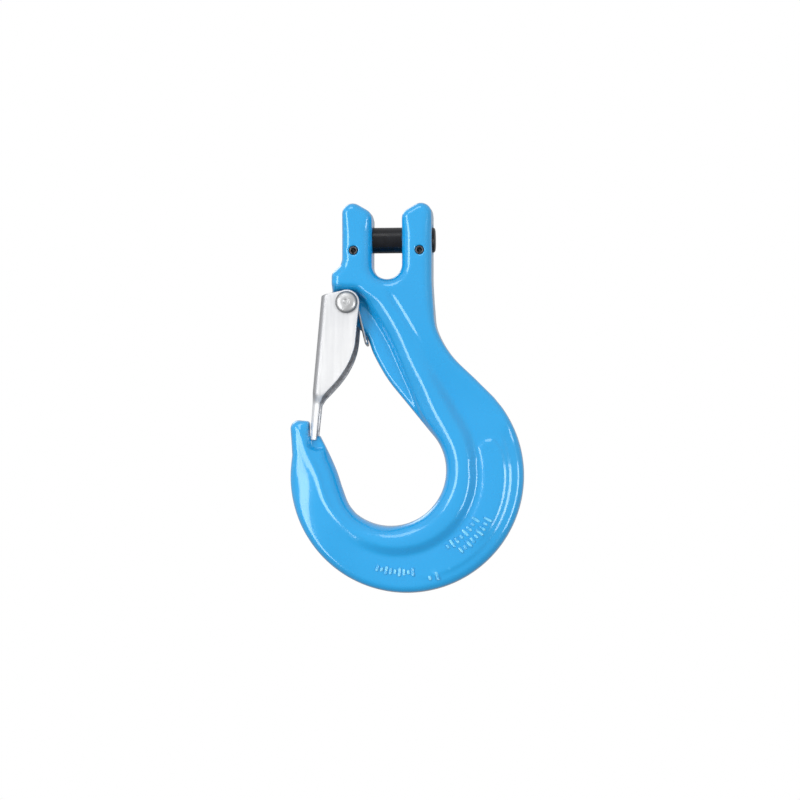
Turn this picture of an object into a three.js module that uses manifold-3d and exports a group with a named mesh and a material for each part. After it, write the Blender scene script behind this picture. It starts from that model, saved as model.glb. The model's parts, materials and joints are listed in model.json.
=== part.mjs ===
// Clevis sling hook for 10 mm (3/8 in) chain, with a spring-loaded sheet-metal safety latch.
//
// Millimetres, +Z up. The origin is the middle of the clevis: on the load pin's axis, halfway between
// the two ears. X runs along the load pin, with the hook's tip on the -X side. The forging is symmetric
// about its parting plane, Y = 0, and the domed head of the latch rivet faces -Y.

import * as THREE from "three";
import * as BufferGeometryUtils from "three/addons/utils/BufferGeometryUtils.js";
import Module from "manifold-3d";

const wasm = await Module();
wasm.setup();

// ---------------------------------------------------------------- driving dimensions

const GAP = 0.3; // clearance between neighbouring pieces
const ROUND_STEPS = 40; // segments around a bore or a shaft

// Clevis head. Ear heights are above the load pin's axis.
const CLEVIS = { halfDepth: 12.5, earOuter: 22, slotHalf: 7, slotBottom: -12.6, edge: 2.6 };
const EAR_CROWN = { x: 16.6, z: 11.9, r: 5.4 };
const EAR_SHOULDER = { x: 10.4, z: 10.6, r: 3.4 };
const HEAD_HEEL = { x: -23.4, z: -18.6, r: 3.7 }; // bulge of the head above the latch
const HEAD_STEP_Z = -22.3; // underside of the head, above the latch

// Load pin, along X, and the two roll pins across it that lock it
const LOAD_PIN = { radius: 6.25, left: -21.7, right: 23.1, chamfer: 0.9 };
const SPOT_FACE = { radius: 7.4, depth: 0.7 };
const ROLL_PIN = { radius: 2, wall: 0.75, slit: 0.9, across: 16, halfLength: 11.9 };

// Bowl: the outer rim, the inner edge and the bead's outer edge are circles with their own centres
const OUTER = { x: 9.2, z: -114.7, r: 56.5 };
const INNER = { x: 1.5, z: -112.3, r: 26.7 };
const BEAD_EDGE = { x: 4, z: -114, r: 38.7 };

// Half thicknesses of the forging, either side of the parting plane
const HALF = { web: 7.5, bead: 11, pad: 8.2, tip: 9.5, lug: 4 };

// Hook tip, and the notch in it that the latch's tongue shuts into
const TIP_CROWN = { x: -43.2, z: -91.8, r: 4.1 };
const NOTCH = { wall: -38, floor: -95.3 };
const NOTCH_POCKET = { x: -33.3, z: -94, r: 8.3 };

// Latch hinge
const PIVOT = { x: -19.4, z: -31.4 };
const LUG_RADIUS = 7.6;
const RIVET = { radius: 3, headRadius: 5.45, headHeight: 2.3, dimple: 1.4, tailRadius: 5, tailHeight: 1.8 };

// Latch: a channel pressed from sheet, whose cheeks draw in to a narrow tongue
const LATCH = {
  sheet: 2.2,
  halfWidth: 10.7,
  tongueHalfWidth: 6.6,
  noseRadius: 6.3,
  taperTop: -75.5,
  taperBottom: -80.5,
  webEnd: -92.4,
  end: -97.7,
};

// Torsion spring: two coils joined by a bridge that lies on the shank, with a leg on the latch from each
const SPRING = {
  wire: 1.4,
  coilRadius: 4.3,
  outerY: 7.45,
  innerY: 5.05,
  latchFoot: { x: -30.6, z: -50 },
  bridge: { x: -10.2, z: -50.8 },
  bend: 1.4,
};

const COLOURS = { blue: 0x3fa8e8, zinc: 0xe6e9ec, steel: 0xa6aaad, black: 0x23272c };

// ---------------------------------------------------------------- outlines

// Points of a circle between two angles, one about every step degrees.
function arcPoints(circle, from, to, step = 7) {
  const count = Math.ceil(Math.abs(to - from) / step);
  return Array.from({ length: count + 1 }, (_, i) => {
    const angle = THREE.MathUtils.degToRad(from + ((to - from) * i) / count);
    return [circle.x + circle.r * Math.cos(angle), circle.z + circle.r * Math.sin(angle)];
  });
}

// Points of a smooth curve through the given ones, with a number of segments for each stretch.
function curvePoints(points, stretchSteps = 3) {
  const curve = new THREE.SplineCurve(points.map(([x, z]) => new THREE.Vector2(x, z)));
  return curve.getPoints((points.length - 1) * stretchSteps).map((point) => [point.x, point.y]);
}

function polygon(points) {
  return new THREE.Shape(points.map(([a, b]) => new THREE.Vector2(a, b)));
}

// A half circle that closes the end of a band, from one side's last point to the other side's first.
function roundEnd(from, to) {
  const centre = { x: (from[0] + to[0]) / 2, z: (from[1] + to[1]) / 2 };
  const r = Math.hypot(to[0] - from[0], to[1] - from[1]) / 2;
  const start = THREE.MathUtils.radToDeg(Math.atan2(from[1] - centre.z, from[0] - centre.x));
  return arcPoints({ ...centre, r }, start, start - 180, 20).slice(1, -1);
}

function mirrored(points) {
  return points.map(([x, z]) => [-x, z]).reverse();
}

// ---------------------------------------------------------------- solids

function toSolid(geometry) {
  const bare = geometry.index ? geometry.toNonIndexed() : geometry.clone();
  bare.deleteAttribute("normal");
  bare.deleteAttribute("uv");
  const merged = BufferGeometryUtils.mergeVertices(bare, 1e-4);
  const corners = Array.from(merged.index.array);
  const triangles = [];
  for (let i = 0; i < corners.length; i += 3) {
    const [a, b, c] = corners.slice(i, i + 3);
    if (a !== b && b !== c && c !== a) triangles.push(a, b, c);
  }
  const mesh = new wasm.Mesh({
    numProp: 3,
    vertProperties: new Float32Array(merged.attributes.position.array),
    triVerts: new Uint32Array(triangles),
  });
  return new wasm.Manifold(mesh);
}

function toGeometry(solid) {
  const mesh = solid.getMesh();
  const geometry = new THREE.BufferGeometry();
  geometry.setAttribute("position", new THREE.BufferAttribute(new Float32Array(mesh.vertProperties), 3));
  geometry.setIndex(new THREE.BufferAttribute(new Uint32Array(mesh.triVerts), 1));
  geometry.computeVertexNormals();
  return geometry;
}

function joined(solids) {
  return solids.reduce((whole, solid) => whole.add(solid));
}

function cutBy(solid, cutters) {
  return cutters.reduce((rest, cutter) => rest.subtract(cutter), solid);
}

// A plate drawn in the X-Z plane and centred on Y = 0. Its edges are rounded: across is how far the
// rounding reaches in from the outline, and deep how far it reaches in from each face.
function plate(points, half, across = 0, deep = across) {
  const geometry = new THREE.ExtrudeGeometry(polygon(points), {
    depth: 2 * (half - deep),
    bevelEnabled: across > 0,
    bevelThickness: deep,
    bevelSize: across,
    bevelOffset: -across,
    bevelSegments: 3,
  });
  geometry.translate(0, 0, deep - half);
  geometry.rotateX(Math.PI / 2);
  return toSolid(geometry);
}

// A prism drawn in the Y-Z plane and run along X.
function prismAlongX(points, from, to) {
  const geometry = new THREE.ExtrudeGeometry(polygon(points), { depth: to - from, bevelEnabled: false });
  geometry.rotateX(Math.PI / 2);
  geometry.rotateZ(Math.PI / 2);
  geometry.translate(from, 0, 0);
  return toSolid(geometry);
}

function rodAlongY(radius, half, x, z) {
  const geometry = new THREE.CylinderGeometry(radius, radius, 2 * half, ROUND_STEPS);
  geometry.translate(x, 0, z);
  return toSolid(geometry);
}

function rodAlongX(radius, from, to) {
  const geometry = new THREE.CylinderGeometry(radius, radius, to - from, ROUND_STEPS);
  geometry.rotateZ(-Math.PI / 2);
  geometry.translate((from + to) / 2, 0, 0);
  return toSolid(geometry);
}

function block(low, high) {
  const geometry = new THREE.BoxGeometry(...high.map((top, axis) => top - low[axis]));
  geometry.translate(...high.map((top, axis) => (top + low[axis]) / 2));
  return toSolid(geometry);
}

// A solid turned about the Y axis, from a profile of [radius, y] points that runs towards +Y.
function turned(profile) {
  return toSolid(new THREE.LatheGeometry(profile.map(([r, y]) => new THREE.Vector2(r, y)), ROUND_STEPS));
}

function part(name, solid, colour, roughness, metalness) {
  const material = new THREE.MeshStandardMaterial({ color: colour, roughness, metalness });
  const mesh = new THREE.Mesh(toGeometry(solid), material);
  mesh.name = name;
  return mesh;
}

// ---------------------------------------------------------------- hook body

// Foot of the bead's inner flank, from the head down the shank to the bowl's inner edge
const SHANK_FOOT = [[20.7, -93.8], [15.6, -83.5], [10.2, -68.4], [0.5, -47.5], [-8.7, -31]];
// Inner edge of the shank, from the latch lug down to the bowl
const SHANK_INNER = [[-22, -38.5], [-15.5, -42], [-10.2, -47.5], [-6.6, -56.3], [0, -67.9], [9.2, -79.5], [20, -92.8]];
// Back of the shank, from the head down to the bowl's outer rim
const SHANK_BACK = [[22, -20], [22.8, -33], [24.4, -44.6], [31.2, -56.8], [42.5, -68.2], [51.2, -76.9]];
// Inner edge of the tip, from the notch down to the bowl
const TIP_INNER = [[-32.9, -95.3], [-29.1, -102.8], [-25, -112], [-20.9, -122.8], [-11.9, -135.4]];

// The whole forging's silhouette, apart from the clevis and the latch lug
function hookSilhouette() {
  return [
    ...curvePoints(SHANK_BACK),
    ...arcPoints(OUTER, 36, -190),
    [-46.9, -97],
    ...arcPoints(TIP_CROWN, 180, 80, 20),
    [NOTCH.wall, -88.6],
    [NOTCH.wall, NOTCH.floor],
    ...curvePoints(TIP_INNER),
    ...arcPoints(INNER, -113, 40),
    ...curvePoints(SHANK_FOOT).slice(1),
    [-14, -18],
  ];
}

// The thick bead along the inner edge, from the head round the bowl
function beadOutline() {
  const back = curvePoints([[13, -44], [18, -56.3], [26, -70.8], [34, -83.5], [40.3, -96.5], [42.3, -108.6]], 2);
  const rim = arcPoints(BEAD_EDGE, 1, -122);
  const edge = arcPoints(INNER, -121, 40);
  return [
    [4, -20],
    ...back,
    ...rim,
    ...roundEnd(rim.at(-1), edge[0]),
    ...edge,
    ...curvePoints(SHANK_FOOT, 2).slice(1),
    [-14, -20],
  ];
}

// The tip's crowned body, outside which it thins to the silhouette
function tipOutline() {
  const back = arcPoints({ ...OUTER, r: OUTER.r - 0.8 }, -108, -188);
  const edge = curvePoints([[-30.2, -104.5], ...TIP_INNER.slice(2)]);
  return [...back, ...roundEnd(back.at(-1), edge[0]), ...edge, [4, -140]];
}

function padOutline() {
  const outer = { ...OUTER, r: 47.6 };
  const inner = { ...BEAD_EDGE, r: 41.6 };
  return [...arcPoints(outer, 19, -42), ...arcPoints(inner, -50, 22)];
}

function lugOutline() {
  return [
    [-26.8, -17],
    ...arcPoints({ ...PIVOT, r: LUG_RADIUS }, 180, 245, 13),
    ...curvePoints(SHANK_INNER),
    [24, -88],
    [6, -45],
    [-4, -17],
  ];
}

function headOutline() {
  const earTop = [...arcPoints(EAR_CROWN, 0, 120, 15), ...arcPoints(EAR_SHOULDER, 120, 180, 15)];
  const slot = arcPoints({ x: 0, z: CLEVIS.slotBottom, r: CLEVIS.slotHalf }, 360, 180, 15);
  return [
    ...earTop,
    ...slot,
    ...mirrored(earTop),
    [-CLEVIS.earOuter, -10.5],
    [-23, -13.2],
    ...arcPoints(HEAD_HEEL, 120, 180, 20),
    [HEAD_HEEL.x - HEAD_HEEL.r, HEAD_STEP_Z],
    [-12.6, HEAD_STEP_Z],
    [-4, -25],
    [2.9, -29.5],
    [9, -38.5],
    [14.5, -46],
    [23.2, -46],
    [CLEVIS.earOuter + 0.6, -33],
  ];
}

// What the notch takes off both faces of the tip, leaving a fin for the tongue to straddle
function notchPockets() {
  const reach = 20;
  const room = rodAlongY(NOTCH_POCKET.r, reach, NOTCH_POCKET.x, NOTCH_POCKET.z);
  const rightOfWall = block([NOTCH.wall, -reach, -120], [0, reach, -80]);
  const fin = block([-60, -HALF.lug, -120], [0, HALF.lug, -80]);
  return room.intersect(rightOfWall).subtract(fin);
}

function hookBody() {
  const forging = joined([
    plate(hookSilhouette(), HALF.web, 3, 3.5),
    plate(beadOutline(), HALF.bead, 4.2, 6.5),
    plate(tipOutline(), HALF.tip, 5.5, 6),
    plate(padOutline(), HALF.pad, 0.6),
    plate(lugOutline(), HALF.lug, 1.2),
    plate(headOutline(), CLEVIS.halfDepth, CLEVIS.edge),
  ]);
  const rollPinHole = (side) =>
    rodAlongY(ROLL_PIN.radius + GAP, CLEVIS.halfDepth + 1, side * ROLL_PIN.across, -LOAD_PIN.radius);
  return cutBy(forging, [
    rodAlongX(LOAD_PIN.radius + GAP, -CLEVIS.earOuter - 5, CLEVIS.earOuter + 5),
    rodAlongX(SPOT_FACE.radius, CLEVIS.earOuter - SPOT_FACE.depth, CLEVIS.earOuter + 5),
    rollPinHole(-1),
    rollPinHole(1),
    rodAlongY(RIVET.radius + GAP, HALF.lug + 1, PIVOT.x, PIVOT.z),
    notchPockets(),
  ]);
}

// ---------------------------------------------------------------- load pin and its roll pins

function loadPin() {
  const { radius, left, right, chamfer } = LOAD_PIN;
  const profile = [
    [0, left],
    [radius - chamfer, left],
    [radius, left + chamfer],
    [radius, right - chamfer],
    [radius - chamfer, right],
    [0, right],
  ];
  const geometry = new THREE.LatheGeometry(profile.map(([r, y]) => new THREE.Vector2(r, y)), ROUND_STEPS);
  geometry.rotateZ(-Math.PI / 2);
  const groove = (side) => rodAlongY(ROLL_PIN.radius + GAP, radius + 1, side * ROLL_PIN.across, -radius);
  return cutBy(toSolid(geometry), [groove(-1), groove(1)]);
}

// A slit tube, along Y, with its slit away from the load pin
function rollPin(side) {
  const halfSlit = THREE.MathUtils.radToDeg(Math.asin(ROLL_PIN.slit / 2 / ROLL_PIN.radius));
  const centre = { x: side * ROLL_PIN.across, z: -LOAD_PIN.radius };
  const outside = { ...centre, r: ROLL_PIN.radius };
  const inside = { ...centre, r: ROLL_PIN.radius - ROLL_PIN.wall };
  const from = -90 + halfSlit;
  const to = 270 - halfSlit;
  return plate([...arcPoints(outside, from, to, 15), ...arcPoints(inside, to, from, 15)], ROLL_PIN.halfLength);
}

// ---------------------------------------------------------------- latch, rivet and spring

function latch() {
  const { sheet, halfWidth, tongueHalfWidth, taperTop, taperBottom, webEnd, end } = LATCH;
  const webTop = [-31.8, -27.7];
  const webKnee = [-36.3, -78.5];
  const webFoot = [-37.7, end];
  const side = [
    webTop,
    ...arcPoints({ ...PIVOT, r: LATCH.noseRadius }, 112, 0, 12),
    [-14.3, -41.7],
    ...curvePoints([[-15.4, -52.4], [-18.3, -60.7], [-23.6, -68], [-31.2, -76.2]]),
    [-32.5, -80.2],
    [-34.3, end],
    webFoot,
    webKnee,
  ];
  const inside = [
    [webTop[0] + sheet, -15],
    [webKnee[0] + sheet, webKnee[1]],
    [webFoot[0] + sheet, end - 5],
    [0, end - 5],
    [0, -15],
  ];
  const lift = 0.8; // the inner corners of the taper sit higher, which keeps the sheet's thickness
  const front = (inset, raise) => {
    const edge = [
      [halfWidth - inset, -10],
      [halfWidth - inset, taperTop + raise],
      [tongueHalfWidth - inset, taperBottom + raise],
      [tongueHalfWidth - inset, end - 6],
    ];
    return prismAlongX([...edge, ...mirrored(edge)], -45, 5);
  };
  const outer = plate(side, halfWidth + 1).intersect(front(0, 0));
  const hollow = plate(inside, halfWidth).intersect(front(sheet, lift));
  const innerHalf = tongueHalfWidth - sheet;
  return cutBy(outer, [
    hollow,
    block([-45, -innerHalf, end - 1], [-30, innerHalf, webEnd]),
    rodAlongY(RIVET.radius + GAP, halfWidth + 2, PIVOT.x, PIVOT.z),
  ]);
}

function latchRivet() {
  const { radius, headRadius, headHeight, dimple, tailRadius, tailHeight } = RIVET;
  const seat = LATCH.halfWidth + GAP;
  const crown = -seat - headHeight;
  const tail = seat + tailHeight;
  const solid = turned([
    [0, crown + 0.8],
    [dimple - 0.4, crown + 0.7],
    [dimple, crown + 0.1],
    [dimple + 0.5, crown],
    [3.6, crown + 0.45],
    [4.8, crown + 1.1],
    [headRadius, crown + 1.9],
    [headRadius, -seat],
    [radius, -seat],
    [radius, seat],
    [tailRadius, seat],
    [tailRadius, tail - 0.8],
    [tailRadius - 1, tail],
    [0, tail],
  ]);
  return solid.translate([PIVOT.x, 0, PIVOT.z]);
}

// Angle, about the pivot, where a straight leg to the given foot leaves the coil.
function tangentAngle(foot, side) {
  const x = foot.x - PIVOT.x;
  const z = foot.z - PIVOT.z;
  return Math.atan2(z, x) + side * Math.acos(SPRING.coilRadius / Math.hypot(x, z));
}

// One half of the spring's centre line, from the foot on the latch to the bridge's middle.
function springHalf(side) {
  const { coilRadius, outerY, innerY, latchFoot, bridge, bend } = SPRING;
  const from = tangentAngle(latchFoot, -1);
  const to = tangentAngle(bridge, 1) - 2 * Math.PI;
  const turn = to < from - 2 * Math.PI ? to : to - 2 * Math.PI;
  const coilSteps = 20;
  const coil = Array.from({ length: coilSteps + 1 }, (_, i) => {
    const angle = from + ((turn - from) * i) / coilSteps;
    const y = outerY + ((innerY - outerY) * i) / coilSteps;
    return [PIVOT.x + coilRadius * Math.cos(angle), y, PIVOT.z + coilRadius * Math.sin(angle)];
  });
  const [legX, , legZ] = coil[coilSteps];
  const length = Math.hypot(bridge.x - legX, bridge.z - legZ);
  const near = (distance) => 1 - distance / length;
  const legPoint = (share, y) => [legX + (bridge.x - legX) * share, y, legZ + (bridge.z - legZ) * share];
  const points = [
    [latchFoot.x, outerY, latchFoot.z],
    [(latchFoot.x + coil[0][0]) / 2, outerY, (latchFoot.z + coil[0][2]) / 2],
    ...coil,
    legPoint(0.5, innerY),
    legPoint(near(2 * bend), innerY),
    legPoint(near(0.3 * bend), innerY - 0.3 * bend),
    legPoint(1, innerY - 1.3 * bend),
  ];
  return points.map(([x, y, z]) => new THREE.Vector3(x, side * y, z));
}

function latchSpring() {
  const path = new THREE.CatmullRomCurve3([...springHalf(-1), ...springHalf(1).reverse()], false, "centripetal");
  const section = polygon(arcPoints({ x: 0, z: 0, r: SPRING.wire / 2 }, 0, 315, 45));
  return toSolid(new THREE.ExtrudeGeometry(section, { steps: 150, extrudePath: path }));
}

// ---------------------------------------------------------------- assembly

const hook = new THREE.Group();
hook.add(
  part("hook_body", hookBody(), COLOURS.blue, 0.25, 0),
  part("load_pin", loadPin(), COLOURS.black, 0.45, 0.6),
  part("load_pin_retainer_left", rollPin(-1), COLOURS.black, 0.4, 0.8),
  part("load_pin_retainer_right", rollPin(1), COLOURS.black, 0.4, 0.8),
  part("latch", latch(), COLOURS.zinc, 0.35, 0.8),
  part("latch_rivet", latchRivet(), COLOURS.steel, 0.35, 0.9),
  part("latch_spring", latchSpring(), COLOURS.steel, 0.3, 0.9),
);

export default hook;
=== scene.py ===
"""Clevis sling hook with a spring-loaded latch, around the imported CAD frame.

Outlines are in millimetres in the frame's X-Z plane, as (x, z), and heights are half thicknesses, measured
from the parting plane at Y = 0. MM turns millimetres into metres. A pair named after a change, such as
CREST_SINKS, holds the two values of Z, or of whatever its comment says, between which that change happens.
"""

import json
import math

import bpy
import numpy as np
import openvdb
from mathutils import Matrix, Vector


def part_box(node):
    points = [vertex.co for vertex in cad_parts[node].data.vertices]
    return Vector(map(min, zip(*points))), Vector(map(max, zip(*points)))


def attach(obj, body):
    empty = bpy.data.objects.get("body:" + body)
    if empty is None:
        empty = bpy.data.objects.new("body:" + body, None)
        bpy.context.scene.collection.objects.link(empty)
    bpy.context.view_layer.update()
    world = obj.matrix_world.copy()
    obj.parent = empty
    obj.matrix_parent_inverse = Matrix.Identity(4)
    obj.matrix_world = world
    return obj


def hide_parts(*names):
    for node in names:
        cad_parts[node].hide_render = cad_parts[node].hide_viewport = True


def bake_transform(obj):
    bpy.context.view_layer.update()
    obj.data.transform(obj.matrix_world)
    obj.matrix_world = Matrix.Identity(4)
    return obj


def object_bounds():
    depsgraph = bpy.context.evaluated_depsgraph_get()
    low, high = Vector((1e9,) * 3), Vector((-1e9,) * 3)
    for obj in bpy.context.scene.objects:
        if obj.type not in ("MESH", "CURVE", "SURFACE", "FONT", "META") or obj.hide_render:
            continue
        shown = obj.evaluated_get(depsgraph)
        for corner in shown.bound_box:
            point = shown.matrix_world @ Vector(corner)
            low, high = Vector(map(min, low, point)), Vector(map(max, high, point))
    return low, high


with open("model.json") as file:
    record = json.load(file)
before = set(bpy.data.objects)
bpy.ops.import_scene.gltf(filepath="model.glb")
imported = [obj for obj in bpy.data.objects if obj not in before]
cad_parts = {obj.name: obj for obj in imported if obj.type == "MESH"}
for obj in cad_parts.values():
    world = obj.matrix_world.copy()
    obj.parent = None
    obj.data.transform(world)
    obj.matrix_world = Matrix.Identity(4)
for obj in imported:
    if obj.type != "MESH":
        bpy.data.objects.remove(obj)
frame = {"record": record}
CAD_LOW, CAD_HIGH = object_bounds()

MM = 0.001

# ---------------------------------------------------------------- dimensions taken from the frame

HINGE = next(j for j in frame["record"]["behaviour"]["joints"] if j["name"] == "latch_hinge")
PIVOT = (HINGE["pos_m"][0] / MM, HINGE["pos_m"][2] / MM)


def node_box(node):
    """Lowest and highest corners of a CAD node, in millimetres."""
    low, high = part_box(node)
    return np.array(low) / MM, np.array(high) / MM


PIN_LOW, PIN_HIGH = node_box("load_pin")
LATCH_LOW, LATCH_HIGH = node_box("latch")
RIVET_LOW, RIVET_HIGH = node_box("latch_rivet")
RETAINER_LOW, RETAINER_HIGH = node_box("load_pin_retainer_right")
BODY_LOW, BODY_HIGH = node_box("hook_body")

PIN_RADIUS = PIN_HIGH[2]
RETAINER_X = (RETAINER_LOW[0] + RETAINER_HIGH[0]) / 2
RETAINER_RADIUS = (RETAINER_HIGH[0] - RETAINER_LOW[0]) / 2

# ---------------------------------------------------------------- dimensions of the forging

EAR_OUTER = 22.0
SLOT_HALF = 7.0
SLOT_BOTTOM = (0.0, -12.6)
EAR_CROWN = ((16.6, 11.9), 5.4)
EAR_SHOULDER = ((12.0, 9.67), 5.0)
HEAD_HEEL = ((-23.4, -18.6), 3.7)
HEAD_STEP_Z = -22.3

OUTER = ((9.2, -114.7), 56.5)
INNER = ((1.5, -112.3), 26.7)
BEAD_EDGE = ((4.8, -115.1), 38.9)
FACE_RIM = ((10.0, -115.8), 56.5)
TIP_CROWN = ((-43.2, -91.8), 4.1)
NOTCH_WALL = -38.0
NOTCH_FLOOR = -95.3
NOTCH_POCKET = ((-33.3, -94.0), 8.3)
LUG_RADIUS = 7.6

# Half thicknesses, either side of the parting plane
HEAD_HALF = 12.5
BEAD_HALF = 11.0
WEB_HALF = 7.5
LUG_HALF = 4.0

# Routes down the shank, from the head to the bowl
SHANK_FOOT = [(-7.7, -32.1), (1.9, -48.6), (10.6, -69.5), (16.6, -84.0), (22.0, -94.0)]
SHANK_BACK = [(22, -20), (22.8, -33), (24.4, -44.6), (31.2, -56.8), (42.5, -68.2), (51.2, -76.9)]
SHANK_INNER = [
    (-22, -38.5),
    (-15.5, -42),
    (-10.2, -47.5),
    (-6.6, -56.3),
    (0, -67.9),
    (9.2, -79.5),
    (20, -92.8),
]
SHANK_GROOVE = [
    (-3, -21),
    (6.6, -36),
    (17.8, -55.4),
    (26.5, -70),
    (33.8, -83.1),
    (40.6, -95.6),
    (43.5, -107),
]
# Routes on the tip, from the notch down to the bowl
TIP_INNER = [(-32.9, -95.3), (-29.1, -102.8), (-25, -112), (-21.9, -121.2), (-19.1, -128.2), (-15.7, -132.7)]
TIP_CREST = [
    (-42.2, -93),
    (-39, -103.2),
    (-33.6, -114.6),
    (-29.7, -126.4),
    (-24.2, -134.9),
    (-17.8, -140.8),
    (-10.4, -145),
    (4, -148.8),
]

# How far the pad's outline keeps from the rim and from the bead
PAD_FROM_RIM = 9.6
PAD_FROM_BEAD = 2.6

# ---------------------------------------------------------------- outlines


def arc(circle, start, end, step=1.2):
    """Points of a circle between two angles in degrees, one about every step degrees."""
    (x, z), radius = circle
    angles = np.radians(np.linspace(start, end, max(2, math.ceil(abs(end - start) / step) + 1)))
    return list(zip(x + radius * np.cos(angles), z + radius * np.sin(angles)))


def smooth(points, steps=20):
    """A Catmull-Rom curve through the points."""
    p = np.array([points[0], *points, points[-1]], float)
    t = np.linspace(0, 1, steps, endpoint=False)[:, None]
    curve = []
    for a, b, c, d in zip(p, p[1:], p[2:], p[3:]):
        cubic = 2 * b + (c - a) * t + (2 * a - 5 * b + 4 * c - d) * t**2 + (3 * b - a - 3 * c + d) * t**3
        curve.extend(map(tuple, cubic / 2))
    return [*curve, tuple(points[-1])]


def mirrored(points):
    """An outline's other half, across its axis at 0."""
    return [(-x, z) for x, z in reversed(points)]


def forging_outline():
    """The silhouette: down the back, round the bowl and tip, up to the left ear, slot and right ear."""
    ear = [*arc(EAR_CROWN, 0, 120, 8), *arc(EAR_SHOULDER, 120, 180, 12)]
    slot = arc((SLOT_BOTTOM, SLOT_HALF), 180, 360, 6)
    return [
        *smooth(SHANK_BACK),
        *arc(OUTER, 36, -190),
        (-46.9, -97),
        *arc(TIP_CROWN, 180, 84, 8),
        (NOTCH_WALL - 0.6, -88.2),
        (NOTCH_WALL, -88.9),
        (NOTCH_WALL, NOTCH_FLOOR),
        *smooth(TIP_INNER),
        *arc(INNER, -130, 40),
        *smooth(SHANK_INNER[::-1]),
        *arc((PIVOT, LUG_RADIUS), 245, 180, 6),
        (HEAD_HEEL[0][0] - HEAD_HEEL[1], HEAD_STEP_Z),
        *arc(HEAD_HEEL, 180, 120, 8),
        (-22.8, -13.0),
        (-EAR_OUTER, -10.2),
        *mirrored(ear[::-1]),
        *slot,
        *reversed(ear),
    ]


def inner_route():
    """Foot of the thick part: under the head, down the shank, round the bowl and up the tip."""
    under_head = [(-45, HEAD_STEP_Z - 1), (-17, HEAD_STEP_Z - 1.2), (-12, -26)]
    return [*smooth([*under_head, *SHANK_FOOT]), *arc(INNER, 24, -130), *smooth(TIP_INNER[::-1])]


def groove_route():
    """The valley outside the bead, from the head down the shank and round under the bowl."""
    return [*smooth(SHANK_GROOVE), *arc(BEAD_EDGE, 6, -140)]


def pad_outline():
    """The raised pad on the web's right side, between the bead and the rim."""
    outer = arc((FACE_RIM[0], FACE_RIM[1] - PAD_FROM_RIM), 17, -50)
    inner = arc((BEAD_EDGE[0], BEAD_EDGE[1] + PAD_FROM_BEAD), -58, 19)
    return [*outer, *inner, (47.3, -98.5), (51.3, -98.0)]


# ---------------------------------------------------------------- fields


def distance(u, v, route, closed=False):
    """Distance from each point (u, v) to a route: positive on the route's right, negative on its left."""
    route = np.array(route, float)
    if closed:
        route = np.vstack([route, route[:1]])
    best = np.full(np.broadcast(u, v).shape, np.inf)
    side = np.ones_like(best)
    for (ax, ay), (bx, by) in zip(route, route[1:]):
        ex, ey = bx - ax, by - ay
        length = math.hypot(ex, ey)
        if length < 1e-9:
            continue
        t = np.clip(((u - ax) * ex + (v - ay) * ey) / length**2, 0, 1)
        gap = np.hypot(u - ax - t * ex, v - ay - t * ey)
        across = ((u - ax) * ey - (v - ay) * ex) / length
        # where two stretches are equally near, the one that the point lies more squarely beside decides
        nearer = (gap < best - 1e-9) | ((gap < best + 1e-9) & (np.abs(across) > np.abs(side)))
        side = np.where(nearer, across, side)
        best = np.minimum(best, gap)
    return best * np.where(side < 0, -1, 1)


def inside(u, v, outline):
    """Which points (u, v) lie inside a closed outline."""
    hits = np.zeros(np.broadcast(u, v).shape, bool)
    previous = outline[-1]
    for point in outline:
        (ax, ay), (bx, by) = previous, point
        previous = point
        if ay == by:
            continue
        crosses = (ay > v) != (by > v)
        hits ^= crosses & (u < ax + (v - ay) * (bx - ax) / (by - ay))
    return hits


def signed(u, v, outline):
    """Signed distance to a closed outline, negative inside."""
    gap = np.abs(distance(u, v, outline, closed=True))
    return np.where(inside(u, v, outline), -gap, gap)


def step_up(value, low, high):
    """0 below low, 1 above high, and smooth between them. low may be the higher of the two."""
    t = np.clip((value - low) / (high - low), 0, 1)
    return t * t * (3 - 2 * t)


def mix(a, b, share):
    """a where share is 0, and b where it is 1."""
    return a + (b - a) * share


def blur(field, cells):
    """Gaussian blur of a 2-D field, with its edge values repeated outside."""
    reach = max(1, math.ceil(3 * cells))
    kernel = np.exp(-0.5 * (np.arange(-reach, reach + 1) / cells) ** 2)
    kernel /= kernel.sum()
    for axis in (0, 1):
        width = [(reach, reach) if a == axis else (0, 0) for a in (0, 1)]
        padded = np.pad(field, width, mode="edge")
        field = sum(
            weight * np.take(padded, np.arange(field.shape[axis]) + i, axis=axis)
            for i, weight in enumerate(kernel)
        )
    return field


def meet(a, b, radius):
    """Both solids at once, with the edge between them rounded to a radius."""
    a, b = a + radius, b + radius
    return np.minimum(np.maximum(a, b), 0) + np.hypot(np.maximum(a, 0), np.maximum(b, 0)) - radius


def cut(solid, hole, softness):
    """The solid without the hole, with a softened edge."""
    hole = -hole
    share = np.maximum(softness - np.abs(solid - hole), 0) / softness
    return np.maximum(solid, hole) + share * share * softness / 4


def sample(field, cells):
    """Trilinear values of a 3-D field at fractional cell positions."""
    low = np.clip(np.floor(cells).astype(int), 0, np.array(field.shape) - 2)
    f = cells - low
    total = 0
    for corner in np.ndindex(2, 2, 2):
        weight = np.prod(np.where(corner, f, 1 - f), axis=1)
        total = total + weight * field[tuple((low + corner).T)]
    return total


# ---------------------------------------------------------------- meshes


def new_object(name, vertices, faces, normals=None):
    """A smooth mesh object from vertices in millimetres."""
    mesh = bpy.data.meshes.new(name)
    mesh.from_pydata([tuple(v) for v in np.array(vertices) * MM], [], [tuple(f) for f in faces])
    mesh.validate()
    mesh.shade_smooth()
    if normals is not None:
        mesh.normals_split_custom_set_from_vertices([tuple(n) for n in normals])
    obj = bpy.data.objects.new(name, mesh)
    bpy.context.scene.collection.objects.link(obj)
    return obj


PULLS = 3
PULL_LIMIT = 0.4


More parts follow.
